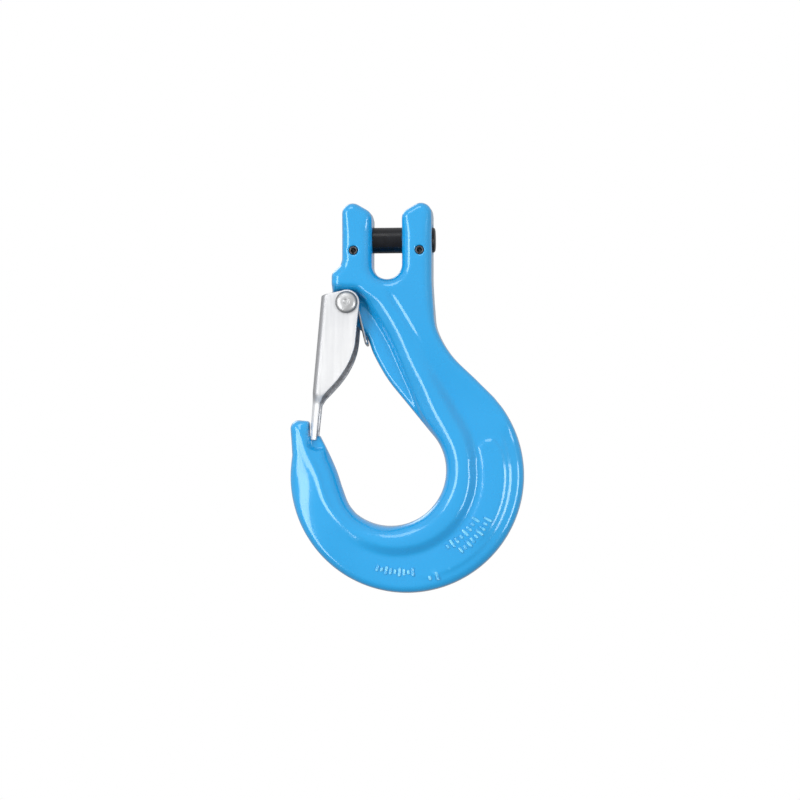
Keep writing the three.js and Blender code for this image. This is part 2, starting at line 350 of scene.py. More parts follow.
def mesh_from_field(name, field, low, step, adaptivity):
    """A mesh of the surface where a 3-D field is 0, with its corners pulled onto that surface."""
    grid = openvdb.FloatGrid()
    grid.copyFromArray(np.ascontiguousarray(field, dtype=np.float32))
    points, triangles, quads = grid.convertToPolygons(isovalue=0.0, adaptivity=adaptivity)
    points = points.astype(float)
    slopes = np.gradient(field)
    for _ in range(PULLS):
        value = sample(field, points)
        slope = np.stack([sample(s, points) for s in slopes], axis=1)
        steep = np.maximum((slope**2).sum(1), 1e-6)
        move = -(value / steep)[:, None] * slope
        points += np.clip(move, -PULL_LIMIT, PULL_LIMIT)
    slope = np.stack([sample(s, points) for s in slopes], axis=1)
    normals = slope / np.linalg.norm(slope, axis=1, keepdims=True)
    faces = [*map(tuple, triangles), *map(tuple, quads)]
    first = np.array([f[:3] for f in faces])
    a, b, c = (points[first[:, i]] for i in range(3))
    outward = (np.cross(b - a, c - a) * normals[first[:, 0]]).sum()
    if outward < 0:
        faces = [f[::-1] for f in faces]
    return new_object(name, points * step + low, faces, normals)


def grid_axes(low, high, step):
    """The X, Y and Z values of a grid's points."""
    return [np.arange(a, b, step) for a, b in zip(low, high)]


def dress(piece, node, body, material):
    """Give a piece its material, and let it stand for a CAD node on a body."""
    piece.data.materials.append(material)
    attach(piece, body)
    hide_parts(node)


# ---------------------------------------------------------------- forging

BODY_STEP = 0.47
BODY_MARGIN = 2.0
BODY_ADAPTIVITY = 0.006
BODY_SOFTNESS = 0.62

# The bead: its flank's width at the head, on the neck and round the bowl, and its slopes
FLANK_HEAD = 1.6
FLANK_NECK = 6.4
FLANK_BOWL = 8.4
NECK_WIDENS = (-24, -33)
BOWL_WIDENS = (-56, -76)
CREST_SINKS = (-24, -62)
CREST_SLOPE = 0.06
FLANK_SLOPE = 0.60  # added to the crest's slope once the flank has rolled over
FLANK_ROLLS = (0.05, 0.5)  # shares of the flank's width, from the crest
FOOT_SLOPE = 2.0
BACK_SLOPE = 0.035
BACK_STARTS = (-30, -55)
BACK_WIDTH = 8

# The web, its rim and its pad. Angles are degrees about FACE_RIM's centre.
WEB_THINS = (-38, -88)
RIM_STARTS = (30, 16)
RIM_ENDS = (-92, -62)
RIM_WIDTH = 7.7
RIM_DROP = 0.62
RIM_DROPS = (-0.5, 1.3)  # mm past the rim's inner edge
RIM_SLOPE = 0.22
PAD_RISE = 0.95
PAD_RISES = (0.8, -0.9)  # mm from the pad's outline
PAD_ENDS = (-56, -30)
PAD_SHOULDER = (1.0, 2.5)  # mm from the bead's edge
PAD_CROWN = (2.5, 9)

# The tip: two facets that fall away from a crest with a fine ridge along it
TIP_END = 7.0
TIP_ROOT = 10.2
TIP_THICKENS = (-88, -150)
TIP_FACET = 0.13
TIP_INWARD_ROLL = 0.016
TIP_OUTWARD_ROLL = 0.022
TIP_FLAT = 11
TIP_FLAT_WIDENS = (-106, -156)
TIP_RIDGE = 0.70
TIP_RIDGE_WIDTH = 1.1
TIP_RIDGE_STARTS = (-156, -130)

# The groove outside the bead. Angles are bearings round the bowl.
GROOVE_BLEND = (-0.5, 5.0)  # mm across the groove, from the web to the bead
GROOVE_SHIFT = 0.2
GROOVE_WIDTHS = (1.2, 1.9)
GROOVE_WIDENS = (-40, -56)
GROOVE_DEPTHS = (1.1, 0.35)
GROOVE_SHALLOWS = (-40, -60)
GROOVE_STARTS = (-22, -31)
GROOVE_ENDS = (230, 272)
TIP_BLEND = (276, 218)
TIP_TOP = -84

# Radii of the forging's edges
EAR_RADIUS = 4.8
SLOT_RADIUS = 5.6
CROWN_RADIUS = 3.6
SHANK_RADIUS = 3.2
LUG_EDGE_RADIUS = 2.6
BOWL_RADIUS = 4.6
NOTCH_RADIUS = 1.2

# Bores, and the flash line left by the dies
PIN_CLEARANCE = 0.15
PIN_BORE_MOUTH = 0.8
PIN_SINK_RADIUS = 7.4
PIN_SINK_DEPTH = 0.7
RETAINER_CLEARANCE = 0.2
RETAINER_MOUTH = 0.9
RIVET_BORE = 3.2
DRAFT = 0.03
FLASH = 0.10
FLASH_HALF = 0.7


def bearing(x, z):
    """Angle round the bowl in degrees: 0 to the right, 180 at the tip, 270 at the bottom."""
    return np.degrees(np.arctan2(z - INNER[0][1], x - INNER[0][0])) % 360


def flank_drop(short, flank):
    """How far the flank has fallen below the crest: it rolls over and then holds its slope."""
    share = np.linspace(0, 1.2, 121)
    slope = CREST_SLOPE + FLANK_SLOPE * step_up(share, *FLANK_ROLLS)
    fallen = np.concatenate([[0], np.cumsum((slope[1:] + slope[:-1]) / 2 * np.diff(share))])
    return flank * np.interp(short / flank, share, fallen)


def bead_height(z, from_edge):
    """Half thickness of the bead: a flank rises from its foot to its crest, and its back falls gently."""
    neck = mix(FLANK_HEAD, FLANK_NECK, step_up(z, *NECK_WIDENS))
    flank = mix(neck, FLANK_BOWL, step_up(z, *BOWL_WIDENS))
    crest = mix(HEAD_HALF, BEAD_HALF, step_up(z, *CREST_SINKS))
    short = flank - from_edge
    rising = crest - flank_drop(short, flank)
    back = crest - BACK_SLOPE * step_up(z, *BACK_STARTS) * np.minimum(from_edge - flank, BACK_WIDTH)
    below = crest - flank_drop(flank, flank) + FOOT_SLOPE * from_edge
    return np.where(from_edge < 0, below, np.where(short > 0, rising, back))


def outer_height(x, z):
    """Half thickness outside the bead: the head's flat face thins down the shank to the bowl's web."""
    height = mix(HEAD_HALF, WEB_HALF, step_up(z, *WEB_THINS))
    (cx, cz), rim = FACE_RIM
    angle = np.degrees(np.arctan2(z - cz, x - cx))
    margin = np.hypot(x - cx, z - cz) - (rim - RIM_WIDTH)
    fall = RIM_DROP * step_up(margin, *RIM_DROPS) + RIM_SLOPE * np.maximum(margin, 0)
    banded = step_up(angle, *RIM_STARTS) * step_up(angle, *RIM_ENDS)
    (bead_x, bead_z), bead_rim = BEAD_EDGE
    from_bead = np.hypot(x - bead_x, z - bead_z) - bead_rim
    shoulder = 0.5 * step_up(from_bead, *PAD_SHOULDER) + 0.5 * step_up(from_bead, *PAD_CROWN)
    pad = step_up(signed(x, z, pad_outline()), *PAD_RISES) * step_up(angle, *PAD_ENDS) * shoulder
    return height - banded * fall + PAD_RISE * pad


def tip_height(x, z):
    """Half thickness of the tip: two facets that fall away from a raised crest."""
    across = distance(x, z, smooth(TIP_CREST))
    crest = mix(TIP_END, TIP_ROOT, step_up(z, *TIP_THICKENS))
    ridge = TIP_RIDGE * np.exp(-((across / TIP_RIDGE_WIDTH) ** 2)) * step_up(z, *TIP_RIDGE_STARTS)
    outward = np.maximum(across, 0)
    inward = np.maximum(-across, 0)
    rolling = np.maximum(across - TIP_FLAT * step_up(z, *TIP_FLAT_WIDENS), 0)
    height = crest + ridge - TIP_FACET * outward - TIP_OUTWARD_ROLL * rolling**2
    return height - TIP_FACET * inward - TIP_INWARD_ROLL * inward**2


def forging_height(x, z, from_edge):
    """Half thickness of the forging over the X-Z plane."""
    across = distance(x, z, groove_route())
    angle = bearing(x, z)
    height = mix(outer_height(x, z), bead_height(z, from_edge), step_up(across, *GROOVE_BLEND))
    by_tip = (angle > 180) & (angle < 300)
    present = np.where(by_tip, step_up(angle, *GROOVE_ENDS), step_up(z, *GROOVE_STARTS))
    width = mix(*GROOVE_WIDTHS, step_up(z, *GROOVE_WIDENS))
    depth = mix(*GROOVE_DEPTHS, step_up(z, *GROOVE_SHALLOWS))
    height = height - depth * present * np.exp(-(((across + GROOVE_SHIFT) / width) ** 2))
    on_tip = np.where((angle > 90) & (z < TIP_TOP), step_up(angle, *TIP_BLEND), 0)
    height = mix(height, tip_height(x, z), on_tip)
    height = np.where(z > HEAD_STEP_Z, HEAD_HALF, np.maximum(height, LUG_HALF))
    (px, pz), reach = NOTCH_POCKET
    pocket = (np.hypot(x - px, z - pz) < reach) & (x > NOTCH_WALL)
    return np.where(pocket, LUG_HALF, height)


def edge_radius(x, z, from_edge):
    """How far the forging's edges are rounded, over the X-Z plane."""
    slot = [(-SLOT_HALF, 12), *arc((SLOT_BOTTOM, SLOT_HALF), 180, 360, 10), (SLOT_HALF, 12)]
    by_slot = step_up(np.abs(distance(x, z, slot)), 8, 5)
    ear = mix(mix(EAR_RADIUS, SLOT_RADIUS, by_slot), CROWN_RADIUS, step_up(z, 2, 12))
    radius = mix(SHANK_RADIUS, ear, step_up(z, -48, -30))
    thin = (from_edge < 0) & (z < HEAD_STEP_Z)
    radius = np.where(thin, LUG_EDGE_RADIUS, radius)
    in_bowl = step_up(x, 8, -4) * step_up(z, -98, -106) * step_up(from_edge, 8, 4)
    radius = mix(radius, BOWL_RADIUS, in_bowl)
    notch = [(NOTCH_WALL, -90), (NOTCH_WALL, -100), (-31, -100)]
    by_notch = step_up(np.abs(distance(x, z, notch)), 4.5, 2)
    return mix(radius, NOTCH_RADIUS, by_notch)


def bored(field, x, depth, z):
    """The forging's field with its bores: for the load pin, its two retainers and the latch's rivet."""
    from_pin = np.hypot(depth, z)
    field = cut(field, from_pin - (PIN_RADIUS + PIN_CLEARANCE), PIN_BORE_MOUTH)
    sink = np.maximum(from_pin - PIN_SINK_RADIUS, EAR_OUTER - PIN_SINK_DEPTH - x)
    field = cut(field, sink, 0.4)
    for side in (-1, 1):
        from_retainer = np.hypot(x - side * RETAINER_X, z + PIN_RADIUS)
        field = cut(field, from_retainer - (RETAINER_RADIUS + RETAINER_CLEARANCE), RETAINER_MOUTH)
    return cut(field, np.hypot(x - PIVOT[0], z - PIVOT[1]) - RIVET_BORE, 0.5)


def forging_field(axes):
    """A 3-D field that is 0 on the forging's surface, and negative inside it."""
    x, z = axes[0][:, None], axes[2][None, :]
    soft = BODY_SOFTNESS / BODY_STEP
    route = inner_route()
    from_edge = np.abs(distance(x, z, route))
    from_edge = blur(np.where(inside(x, z, route), -from_edge, from_edge), 1.6 * soft)
    height = blur(forging_height(x, z, from_edge), soft)
    slope_x, slope_z = np.gradient(height, BODY_STEP)
    steepness = np.sqrt(1 + slope_x**2 + slope_z**2)
    radius = blur(edge_radius(x, z, from_edge), 2.5 * soft)
    outline = signed(x, z, forging_outline())

    depth = np.abs(axes[1])[None, :, None]
    faces = (depth - height[:, None, :]) / steepness[:, None, :]
    flash = FLASH * np.exp(-((depth / FLASH_HALF) ** 2))
    sides = outline[:, None, :] + DRAFT * depth - flash
    field = meet(faces, sides, radius[:, None, :])
    return bored(field, axes[0][:, None, None], depth, axes[2][None, None, :])


def make_forging(coat):
    low = BODY_LOW - BODY_MARGIN
    axes = grid_axes(low, BODY_HIGH + BODY_MARGIN, BODY_STEP)
    forging = mesh_from_field("forging", forging_field(axes), low, BODY_STEP, BODY_ADAPTIVITY)
    dress(forging, "hook_body", "hook", coat)


# ---------------------------------------------------------------- tally marks

TICK_STEP = 0.2
TICK_ADAPTIVITY = 0.005
TICK_RADIUS = 0.72
TICK_HALF_LENGTHS = (1.5, 0.5, 1.0)
# Each row's first and last angle round the rim, its number of marks, and its distance in from the rim
TICK_ROWS = [(-29, -54, 9, 11.5), (-33, -60, 8, 16.5), (-73, -77, 2, 5.6), (-86, -107, 9, 9.6)]


def tick_lines():
    """Centre lines of the raised tally marks on the web: short radial bars and dots, round the hook's rim."""
    (cx, cz), rim = OUTER
    lines = []
    for first, last, count, inset in TICK_ROWS:
        for i, angle in enumerate(np.radians(np.linspace(first, last, count))):
            half = TICK_HALF_LENGTHS[i % len(TICK_HALF_LENGTHS)]
            across = np.array([math.cos(angle), math.sin(angle)])
            centre = np.array([cx, cz]) + (rim - inset) * across
            lines.append((centre - half * across, centre + half * across))
    return lines


def make_ticks(coat):
    """Round-topped bars and dots, half sunk in the web's front face."""
    lines = tick_lines()
    ends = np.array(lines).reshape(-1, 2)
    x, z = ends[:, :1], ends[:, 1:]
    inner = distance(x, z, inner_route())
    level = forging_height(x, z, np.abs(inner)).reshape(len(lines), 2).mean(axis=1)
    margin = np.array([2, 1.2, 2])
    low = np.array([x.min(), -level.max(), z.min()]) - margin
    high = np.array([x.max(), -level.min(), z.max()]) + margin
    axes = grid_axes(low, high, TICK_STEP)
    x, y, z = axes[0][:, None], axes[1], axes[2][None, :]
    field = np.full([len(a) for a in axes], 10.0)
    for line, height in zip(lines, level):
        across = np.abs(distance(x, z, line))[:, None, :]
        field = np.minimum(field, np.hypot(across, (y + height)[None, :, None]) - TICK_RADIUS)
    ticks = mesh_from_field("raised_tally_marks", field, low, TICK_STEP, TICK_ADAPTIVITY)
    dress(ticks, "hook_body", "hook", coat)


# ---------------------------------------------------------------- latch

LATCH_STEP = 0.3
LATCH_MARGIN = 1.2
LATCH_ADAPTIVITY = 0.004
SHEET = 2.2
SHEET_BEND = 3.4
TONGUE_HALF = 6.6
CHANNEL_HALF = 4.4
TAPER_TOP = -75.5
TAPER_BOTTOM = -80.5
WEB_END = -92.4
NOSE_RADIUS = 6.3
WEB_LINE = [(-31.8, -27.7), (-36.3, -78.5), (-37.7, -97.7)]
CHEEK_EDGE = [(-14.3, -41.7), (-15.4, -52.4), (-18.3, -60.7), (-23.2, -68.4), (-30.8, -76.8)]
RIVET_HOLE = 3.3
BLANKED_RADIUS = 0.55
# Faces of the blanked edge lie this near the blanking line, and face less than this to the front or back
ON_CUT_LINE = 0.15
ON_CUT_FACING = 0.35


def latch_cut():
    """The line that the folded sheet was blanked to, open to the left of the web."""
    (top_x, top_z), foot_z = WEB_LINE[0], LATCH_LOW[2]
    far_left = LATCH_LOW[0] - 20
    nose = arc((PIVOT, NOSE_RADIUS), 112, 0, 6)
    rise = (nose[0][1] - top_z) / (nose[0][0] - top_x)
    return [
        (far_left, top_z + rise * (far_left - top_x)),
        *nose,
        *smooth(CHEEK_EDGE),
        (-32.5, -80.2),
        (-34.3, foot_z),
        (far_left, foot_z),
    ]


def latch_front():
    """Half of the latch's front outline: the wide cheeks, the joggle and the narrow tongue."""
    half = LATCH_HIGH[1]
    joggle = [(half, TAPER_TOP + 3), (half - 0.5, TAPER_TOP - 0.6)]
    foot = [(TONGUE_HALF + 0.5, TAPER_BOTTOM + 0.6), (TONGUE_HALF, TAPER_BOTTOM - 3)]
    return [(half, -10), *smooth([*joggle, *foot]), (TONGUE_HALF, -110)]


def latch_field(axes):
    """A channel of even thickness, trimmed to the blanking line, with a slot in its foot and rivet holes."""
    x, y, z = axes[0][:, None], np.abs(axes[1])[:, None], axes[2][None, :]
    (top_x, top_z), (foot_x, foot_z) = WEB_LINE[0], WEB_LINE[-1]
    web = distance(x, z, [(top_x + 1, top_z + 12), *WEB_LINE, (foot_x - 1, foot_z - 12)])
    front = -distance(y, z, latch_front())
    blank = signed(x, z, latch_cut())
    web, blank, front = web[:, None, :], blank[:, None, :], front[None, :, :]

    outside = meet(web, front, SHEET_BEND)
    hollow = meet(web + SHEET, front + SHEET, SHEET_BEND - SHEET + 0.4)
    field = meet(np.maximum(outside, -hollow), blank, BLANKED_RADIUS)

    x, y, z = axes[0][:, None, None], y[None, :], axes[2][None, None, :]
    field = cut(field, np.maximum(y - CHANNEL_HALF, z - WEB_END), 0.4)
    return cut(field, np.hypot(x - PIVOT[0], z - PIVOT[1]) - RIVET_HOLE, 0.4)


def make_latch(zinc, cut_edge):
    low = LATCH_LOW - LATCH_MARGIN
    axes = grid_axes(low, LATCH_HIGH + LATCH_MARGIN, LATCH_STEP)
    latch = mesh_from_field("latch_sheet", latch_field(axes), low, LATCH_STEP, LATCH_ADAPTIVITY)
    dress(latch, "latch", "latch", zinc)
    latch.data.materials.append(cut_edge)
    faces = latch.data.polygons
    centres = np.array([f.center for f in faces]) / MM
    sideways = np.array([abs(f.normal.y) < ON_CUT_FACING for f in faces])
    from_cut = np.abs(signed(centres[:, 0], centres[:, 2], latch_cut()))
    for face in np.flatnonzero(sideways & (from_cut < ON_CUT_LINE)):
        faces[int(face)].material_index = 1


# ---------------------------------------------------------------- pins and rivet

PIN_STEP = 0.3
PIN_CHAMFER = 0.9
RETAINER_STEP = 0.13
RETAINER_WALL = 0.75
RETAINER_SLIT = 0.9
TURNED_ADAPTIVITY = 0.01
RIVET_STEP = 0.22
RIVET_RADIUS = 3.0
RIVET_SEAT = 11.0
RIVET_TAIL_RADIUS = 5.0


def mesh_in_box(name, field, low, high, step):
    """A mesh of a field function over a node's box, with over two cells to spare all round."""
    low = low - 2.5 * step
    axes = grid_axes(low, high + 2.5 * step, step)
    return mesh_from_field(name, field(axes), low, step, TURNED_ADAPTIVITY)


def load_pin_field(axes):
    """A chamfered round bar along X, with a groove across its underside for each retainer."""
    x, y, z = np.meshgrid(*axes, indexing="ij")
    radial = np.hypot(y, z) - PIN_RADIUS
    centre = (PIN_LOW[0] + PIN_HIGH[0]) / 2
    ends = np.abs(x - centre) - (PIN_HIGH[0] - PIN_LOW[0]) / 2
    cone = (radial + ends + PIN_CHAMFER) / math.sqrt(2)
    field = meet(meet(radial, ends, 0.1), cone, 0.35)
    for side in (-1, 1):
        groove = np.hypot(x - side * RETAINER_X, z + PIN_RADIUS) - (RETAINER_RADIUS + 0.25)
        field = cut(field, groove, 0.3)
    return field


def retainer_field(side):
    """A spring pin: a slit tube with rounded ends, its slit facing down."""

    def field(axes):
        x, y, z = np.meshgrid(*axes, indexing="ij")
        x = x - side * RETAINER_X
        z = z + PIN_RADIUS
        middle = RETAINER_RADIUS - RETAINER_WALL / 2
        wall = np.abs(np.hypot(x, z) - middle) - RETAINER_WALL / 2
        tube = meet(wall, np.abs(y) - RETAINER_HIGH[1], 0.3)
        return cut(tube, np.maximum(np.abs(x) - RETAINER_SLIT / 2, z), 0.15)

    return field


def rivet_profile():
    """Half of the rivet's section, as (radius, Y): the pan head, the shank and the formed tail."""
    crown, tail = RIVET_LOW[1], RIVET_HIGH[1]
    dimple = [(0, crown + 0.75), (0.8, crown + 0.7), (1.3, crown + 0.25), (1.9, crown)]
    dome = [(3.1, crown + 0.14), (4.2, crown + 0.62), (5.05, crown + 1.35), (5.42, crown + 2.0)]
    foot = RIVET_TAIL_RADIUS
    formed = [(foot, RIVET_SEAT + 0.3), (foot - 0.1, tail - 0.75), (foot - 0.9, tail - 0.1), (foot - 2, tail)]
    hollow = [(1.3, tail - 0.08), (0.8, tail - 0.45), (0, tail - 0.55)]
    return [
        *smooth([*dimple, *dome], 8),
        (5.3, -RIVET_SEAT),
        (RIVET_RADIUS, -RIVET_SEAT),
        (RIVET_RADIUS, RIVET_SEAT),
        (foot - 0.15, RIVET_SEAT),
        *smooth(formed),
        (1.6, tail),
        *smooth(hollow),
    ]


def rivet_field(axes):
    """The rivet's section turned round the latch's pivot axis."""
    x, y, z = np.meshgrid(*axes, indexing="ij")
    radius = np.hypot(x - PIVOT[0], z - PIVOT[1])
    half = rivet_profile()
    return signed(radius, y, [*half, *mirrored(half)])


def make_pins_and_rivet(oxide, retainer_steel, rivet_steel):
    pin = mesh_in_box("load_pin_turned", load_pin_field, PIN_LOW, PIN_HIGH, PIN_STEP)
    dress(pin, "load_pin", "hook", oxide)
    for word, side in (("left", -1), ("right", 1)):
        node = f"load_pin_retainer_{word}"
        low, high = node_box(node)
        tube = mesh_in_box(f"spring_pin_{word}", retainer_field(side), low, high, RETAINER_STEP)
        dress(tube, node, "hook", retainer_steel)
    rivet = mesh_in_box("latch_rivet_formed", rivet_field, RIVET_LOW, RIVET_HIGH, RIVET_STEP)
    dress(rivet, "latch_rivet", "hook", rivet_steel)


# ---------------------------------------------------------------- spring

WIRE_RADIUS = 0.7
COIL_RADIUS = 4.3
COIL_OUTER_Y = 7.45
COIL_INNER_Y = 5.05
SPRING_FOOT = (-30.6, -50.0)
SPRING_BRIDGE = (-10.2, -50.8)
SPRING_BEND = 1.4
COIL_POINTS = 140


def tangent_angle(foot, side):
    """Angle about the pivot where a straight leg to the given foot leaves the coil."""
    x, z = foot[0] - PIVOT[0], foot[1] - PIVOT[1]
    return math.atan2(z, x) + side * math.acos(COIL_RADIUS / math.hypot(x, z))


def spring_half(side):
    """Half of the spring's centre line, from its foot on the latch to the bridge's middle."""
    start = tangent_angle(SPRING_FOOT, -1)
    end = tangent_angle(SPRING_BRIDGE, 1) - 2 * math.pi
    if end > start - 2 * math.pi:
        end -= 2 * math.pi
    angles = np.linspace(start, end, COIL_POINTS)
    coil = [
        (PIVOT[0] + COIL_RADIUS * math.cos(a), y, PIVOT[1] + COIL_RADIUS * math.sin(a))
        for a, y in zip(angles, np.linspace(COIL_OUTER_Y, COIL_INNER_Y, len(angles)))
    ]
    foot = np.array([SPRING_FOOT[0], COIL_OUTER_Y, SPRING_FOOT[1]])
    leg = [foot + (coil[0] - foot) * share for share in np.linspace(0, 0.97, 16)]
    top = np.array(coil[-1])
    low = np.array([SPRING_BRIDGE[0], COIL_INNER_Y, SPRING_BRIDGE[1]])
    along = (low - top) / np.linalg.norm(low - top)
    down = [top + (low - top) * share for share in np.linspace(0.03, 0.93, 16)]
    corner = low - along * SPRING_BEND
    inward = np.array([0, -1, 0])
    turn = [
        corner + SPRING_BEND * (along * math.sin(a) + inward * (1 - math.cos(a)))
        for a in np.linspace(0, math.pi / 2, 9)
    ]
    points = [*leg, *coil, *down, *turn]
    return [np.array([x, side * y, z]) for x, y, z in points]


def tube(name, centre_line, radius, sides=14):
    """A round wire along a centre line, with rounded ends."""
    line = np.array(centre_line)
    ahead = np.gradient(line, axis=0)
    ahead /= np.linalg.norm(ahead, axis=1, keepdims=True)
    turns = np.radians(np.arange(sides) * 360 / sides)
    across = np.cross(ahead[0], (0, 1, 0.3))
    rings = []
    for i, direction in enumerate(ahead):
        across = across - direction * across.dot(direction)
        across /= np.linalg.norm(across)
        up = np.cross(direction, across)
        ring = [across * math.cos(a) + up * math.sin(a) for a in turns]
        for pull, share in end_rings(i, len(line)):
            centre = line[i] + direction * pull * radius
            rings.append([centre + radius * share * r for r in ring])
    vertices = [v for ring in rings for v in ring]
    faces = [
        (i * sides + j, i * sides + (j + 1) % sides, (i + 1) * sides + (j + 1) % sides, (i + 1) * sides + j)
        for i in range(len(rings) - 1)
        for j in range(sides)
    ]
    faces.append(tuple(range(sides - 1, -1, -1)))
    faces.append(tuple(range(len(vertices) - sides, len(vertices))))
    return new_object(name, vertices, faces)


def end_rings(index, count):
    """(pull along the wire, share of its radius) of the rings at one point of the centre line."""
    round_off = [(math.sin(a), math.cos(a)) for a in np.radians((72, 50, 25))]
    if index == 0:
        return [*((-pull, share) for pull, share in round_off), (0, 1)]
    if index == count - 1:
        return [(0, 1), *round_off[::-1]]
    return [(0, 1)]


def make_spring(wire):
    halves = [spring_half(-1), spring_half(1)[::-1]]
    spring = tube("latch_spring_wire", [*halves[0], *halves[1]], WIRE_RADIUS)
    spring.data.materials.append(wire)
    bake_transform(spring)
    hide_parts("latch_spring")


# ---------------------------------------------------------------- materials


class Look:
    """A material's node tree around one Principled shader. Scales are in cycles per metre."""

    def __init__(self, name, **sockets):
        self.material = bpy.data.materials.new(name)
        self.material.use_nodes = True
        self.tree = self.material.node_tree
        self.shader = self.tree.nodes["Principled BSDF"]
        coordinates = self.tree.nodes.new("ShaderNodeTexCoord").outputs
        self.place, self.normal = coordinates["Object"], coordinates["Normal"]
        for socket, value in sockets.items():
            self.shader.inputs[socket.replace("_", " ")].default_value = value

    def node(self, kind, inputs=(), **settings):
        """A new shader node, each of whose inputs is a link or a constant."""
        node = self.tree.nodes.new("ShaderNode" + kind)
        for key, value in settings.items():
            setattr(node, key, value)
        for socket, value in dict(inputs).items():
            if isinstance(value, bpy.types.NodeSocket):
                self.tree.links.new(value, node.inputs[socket])
            else:
                node.inputs[socket].default_value = value
        return node

    def noise(self, scale, stretch=(1, 1, 1), detail=2.0, roughness=0.5):
        """Smooth noise from 0 to 1, drawn out along an axis where stretch is below 1."""
        mapping = self.node("Mapping", {"Vector": self.place, "Scale": stretch})
        sizes = {"Vector": mapping.outputs[0], "Scale": scale, "Detail": detail, "Roughness": roughness}
        return self.node("TexNoise", sizes).outputs[0]

    def spread(self, value, low, high, new_low=0.0, new_high=1.0):
        """A value moved from one range to another, and held inside it."""
        limits = {"Value": value, 1: low, 2: high, 3: new_low, 4: new_high}
        return self.node("MapRange", limits).outputs[0]

    def blend(self, share, a, b):
        """Colour a where share is 0, and b where it is 1."""
        return self.node("Mix", {0: share, 6: a, 7: b}, data_type="RGBA").outputs[2]

    def add(self, a, b, times=1.0):
        """a with b added to it so many times."""
        return self.node("Math", {0: b, 1: times, 2: a}, operation="MULTIPLY_ADD").outputs[0]

    def times(self, a, b):
        return self.node("Math", {0: a, 1: b}, operation="MULTIPLY").outputs[0]

    def bump(self, height, distance, below=None):
        """A bump of the given depth in metres, on top of another one."""
        sockets = {"Height": height, "Distance": distance}
        if below is not None:
            sockets["Normal"] = below
        return self.node("Bump", sockets).outputs[0]

    def finish(self, colour, roughness, normal):
        self.tree.links.new(colour, self.shader.inputs["Base Color"])
        self.tree.links.new(roughness, self.shader.inputs["Roughness"])
        self.tree.links.new(normal, self.shader.inputs["Normal"])
        return self.material


def rgb(red, green, blue):
    """An opaque colour, in linear light."""
    return (red, green, blue, 1.0)


def powder_coat(name, paling):
    """Glossy blue powder coat: orange peel over the forging's unevenness, paler on edges where the film is
    thin, and with pale patches painted in as glints of light when paling is given.
    """
    look = Look(name, Coat_Weight=1.0, Coat_Roughness=0.09, Specular_Tint=rgb(0.6, 0.95, 1))
    cloud = look.noise(28, detail=3)
    speck = look.noise(900, detail=1)
    edge = look.spread(look.node("NewGeometry").outputs["Pointiness"], 0.51, 0.60)
    colour = look.blend(cloud, rgb(0.007, 0.312, 0.690), rgb(0.012, 0.358, 0.760))
    colour = look.blend(look.spread(edge, 0, 1, 0, 0.35), colour, rgb(0.070, 0.480, 0.900))
    colour = look.blend(look.spread(speck, 0.66, 0.80, 0, 0.25), colour, rgb(0.018, 0.260, 0.640))
    if paling:
        # pale patches painted in as glints of light on the raised marks
        glint_patch = look.spread(look.noise(420, detail=2), 0.38, 0.54, 0.2 * paling, paling)
        colour = look.blend(glint_patch, colour, rgb(0.22, 0.68, 0.94))
    roughness = look.spread(look.noise(75, detail=4), 0.3, 0.7, 0.20, 0.32)
    forging = look.bump(look.noise(90, detail=1.5), 0.00006)
    peel = look.bump(look.noise(780, detail=1.5), 0.000009, forging)
    return look.finish(colour, roughness, peel)


def zinc_plate():
    """Bright zinc on rolled sheet: streaks, clouding and scuffs, with painted shade darkening the web and the
    inside of the channel.
    """
    look = Look("zinc_plated_sheet", Metallic=0.5)
    streak = look.noise(900, stretch=(1, 1, 0.045), detail=3)
    cloud = look.noise(60, detail=4)
    tone = look.add(look.spread(cloud, 0.3, 0.7, 0, 0.7), look.spread(streak, 0.35, 0.7), 0.3)
    colour = look.blend(tone, rgb(0.76, 0.77, 0.79), rgb(0.86, 0.865, 0.875))
    scuff = look.spread(look.noise(260, detail=6, roughness=0.7), 0.62, 0.78, 0, 0.35)
    colour = look.blend(scuff, colour, rgb(0.62, 0.63, 0.66))
    facing = look.node("SeparateXYZ", {0: look.normal}).outputs
    place = look.node("SeparateXYZ", {0: look.place}).outputs
    # painted shade: the web's faces are darkened in colour, fully above the taper and a quarter as much below
    # it
    painted_web_shade = look.spread(facing[0], -0.06, -0.45)
    painted_web_shade = look.times(painted_web_shade, look.spread(place[2], TAPER_BOTTOM * MM, TAPER_TOP * MM, 0.25, 1))
    colour = look.blend(painted_web_shade, colour, rgb(0.33, 0.335, 0.35))
    # painted shade: faces inside the channel, and the web's inner face, get a dark mottled colour as if in
    # its shadow
    painted_channel_shade = look.spread(look.times(facing[1], place[1]), -2 * MM, -5 * MM)
    painted_channel_shade = look.spread(facing[0], 0.3, 0.7, painted_channel_shade, 1)
    mottle = look.spread(look.noise(620, detail=5, roughness=0.65), 0.35, 0.65)
    channel_shade_tone = look.blend(mottle, rgb(0.32, 0.32, 0.33), rgb(0.58, 0.58, 0.60))
    colour = look.blend(painted_channel_shade, colour, channel_shade_tone)
    roughness = look.add(look.spread(streak, 0.3, 0.7, 0.40, 0.54), scuff, 0.3)
    normal = look.bump(streak, 0.000012, look.bump(cloud, 0.00004))
    return look.finish(colour, roughness, normal)


def zinc_cut_edge():
    """The blanked edge of the sheet: a duller zinc over the coarse lines that shearing leaves, with its dark
    tones deepened as painted shade for the dim light on it.
    """
    look = Look("zinc_cut_edge", Metallic=0.85)
    lines = look.noise(700, stretch=(1, 0.08, 1), detail=4, roughness=0.65)
    band = look.noise(420, stretch=(0.15, 1, 0.15), detail=2)
    # the darkest lines are partly painted shade
    colour = look.blend(look.spread(lines, 0.3, 0.7), rgb(0.14, 0.145, 0.16), rgb(0.58, 0.59, 0.61))
    roughness = look.spread(band, 0.3, 0.7, 0.38, 0.55)
    return look.finish(colour, roughness, look.bump(lines, 0.00006))


